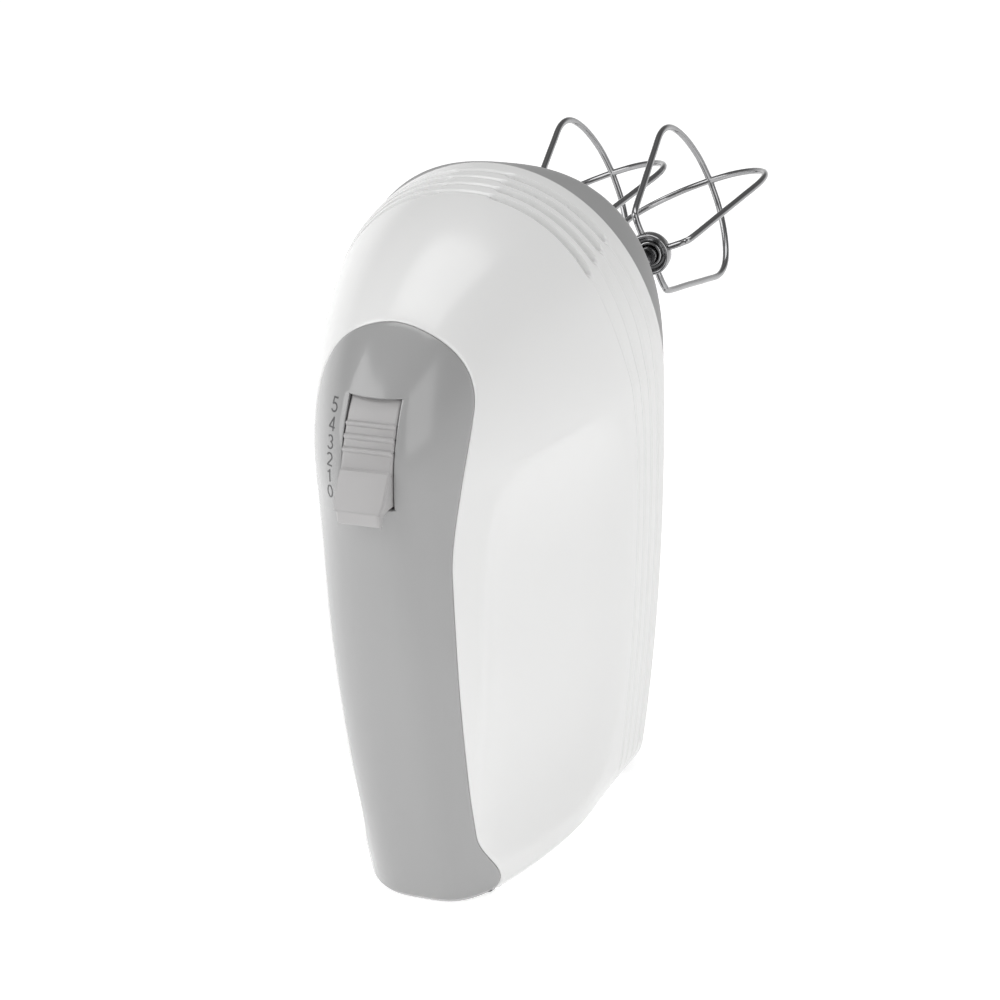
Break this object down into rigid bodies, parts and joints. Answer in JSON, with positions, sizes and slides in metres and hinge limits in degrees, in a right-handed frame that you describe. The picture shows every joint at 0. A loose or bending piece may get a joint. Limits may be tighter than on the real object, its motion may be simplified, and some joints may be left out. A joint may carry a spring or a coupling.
{
  "type": "hand mixer",
  "caption": "Upright hand mixer with a white loaf-shaped housing, grey grip cover, slide speed switch and pull-out four-wing wire beaters.",
  "frame": {"origin": "on the floor that the heel stands on, in the middle of the joint between housing and base", "axes": "+Z from heel to nose, +Y towards the beaters, -Y towards the grip and the speed switch, +X to the left of the grip seen from the beaters"},
  "size_m": [0.103, 0.2887, 0.2],
  "materials": {
    "white_shell": "glossy",
    "grey_cover": "semi-gloss",
    "grey_base": "satin",
    "gland_rubber": "matt",
    "screw_steel": "zinc plated",
    "frame_nylon": "natural nylon",
    "bronze": "sintered bronze",
    "lamination": "varnished laminations",
    "copper": "enamelled copper wire",
    "bracket_zinc": "die-cast",
    "carbon": "carbon",
    "spring_steel": "spring steel",
    "capacitor_case": "dipped film capacitor",
    "circuit_board": "solder mask",
    "shaft_steel": "ground",
    "fan_plastic": "moulded",
    "gear_nylon": "greased nylon",
    "beater_chrome": "polished",
    "switch_grey": "semi-gloss"
  },
  "bodies": {
    "housing": {"body_shell": "white_shell", "grip_cover": "grey_cover", "base_shell": "grey_base", "cord_gland": "gland_rubber", "housing_screws": "screw_steel", "gear_frame": "frame_nylon", "spindle_bushes": "bronze", "shaft_bushes": "bronze", "frame_screws": "screw_steel", "stator_core": "lamination", "field_coil_front": "copper", "field_coil_rear": "copper", "motor_bracket_rear": "bracket_zinc", "motor_bracket_front": "bracket_zinc", "motor_screws": "screw_steel", "brush_holder_left": "bronze", "brush_holder_right": "bronze", "brush_left": "carbon", "brush_right": "carbon", "brush_spring_left": "spring_steel", "brush_spring_right": "spring_steel", "capacitor": "capacitor_case", "contact_board": "circuit_board", "eject_spring_left": "spring_steel", "eject_spring_right": "spring_steel"},
    "rotor": {"motor_shaft": "shaft_steel", "armature_core": "lamination", "armature_windings": "copper", "commutator": "copper", "cooling_fan": "fan_plastic", "worm": "shaft_steel"},
    "drive_left": {"gear_left": "gear_nylon", "spindle_left": "shaft_steel"},
    "drive_right": {"gear_right": "gear_nylon", "spindle_right": "shaft_steel"},
    "beater_left": {"beater_shank_left": "beater_chrome", "beater_collar_left": "beater_chrome", "beater_wires_left": "beater_chrome"},
    "beater_right": {"beater_shank_right": "beater_chrome", "beater_collar_right": "beater_chrome", "beater_wires_right": "beater_chrome"},
    "ejector": {"eject_yoke": "frame_nylon", "switch_pivot_pin": "shaft_steel"},
    "switch": {"speed_switch": "switch_grey", "switch_wiper": "bronze"}
  },
  "joints": [
    {"name": "motor_spin", "type": "hinge", "parent": "housing", "child": "rotor", "pos_m": [0, -0.03, 0.138], "axis": [0, 0, 1], "continuous": true},
    {"name": "left_spin", "type": "hinge", "parent": "housing", "child": "drive_left", "pos_m": [-0.018, 0, 0.138], "axis": [0, 1, 0], "continuous": true},
    {"name": "right_spin", "type": "hinge", "parent": "housing", "child": "drive_right", "pos_m": [0.018, 0, 0.138], "axis": [0, 1, 0], "continuous": true},
    {"name": "left_pull", "type": "slide", "parent": "drive_left", "child": "beater_left", "axis": [0, 1, 0], "range_m": [0, 0.06]},
    {"name": "right_pull", "type": "slide", "parent": "drive_right", "child": "beater_right", "axis": [0, 1, 0], "range_m": [0, 0.06]},
    {"name": "eject_press", "type": "slide", "parent": "housing", "child": "ejector", "axis": [0, 1, 0], "range_m": [0, 0.004], "stiffness_N_per_m": 800, "springref_m": -0.004, "deforming": ["eject_spring_left", "eject_spring_right"]},
    {"name": "speed_dial", "type": "hinge", "parent": "ejector", "child": "switch", "pos_m": [0, -0.067, 0.137], "axis": [-1, 0, 0], "range_deg": [0, 27]}
  ],
  "couplings": [
    {"joint": "left_spin", "follows": "motor_spin", "ratio": 0.083333},
    {"joint": "right_spin", "follows": "motor_spin", "ratio": -0.083333}
  ]
}
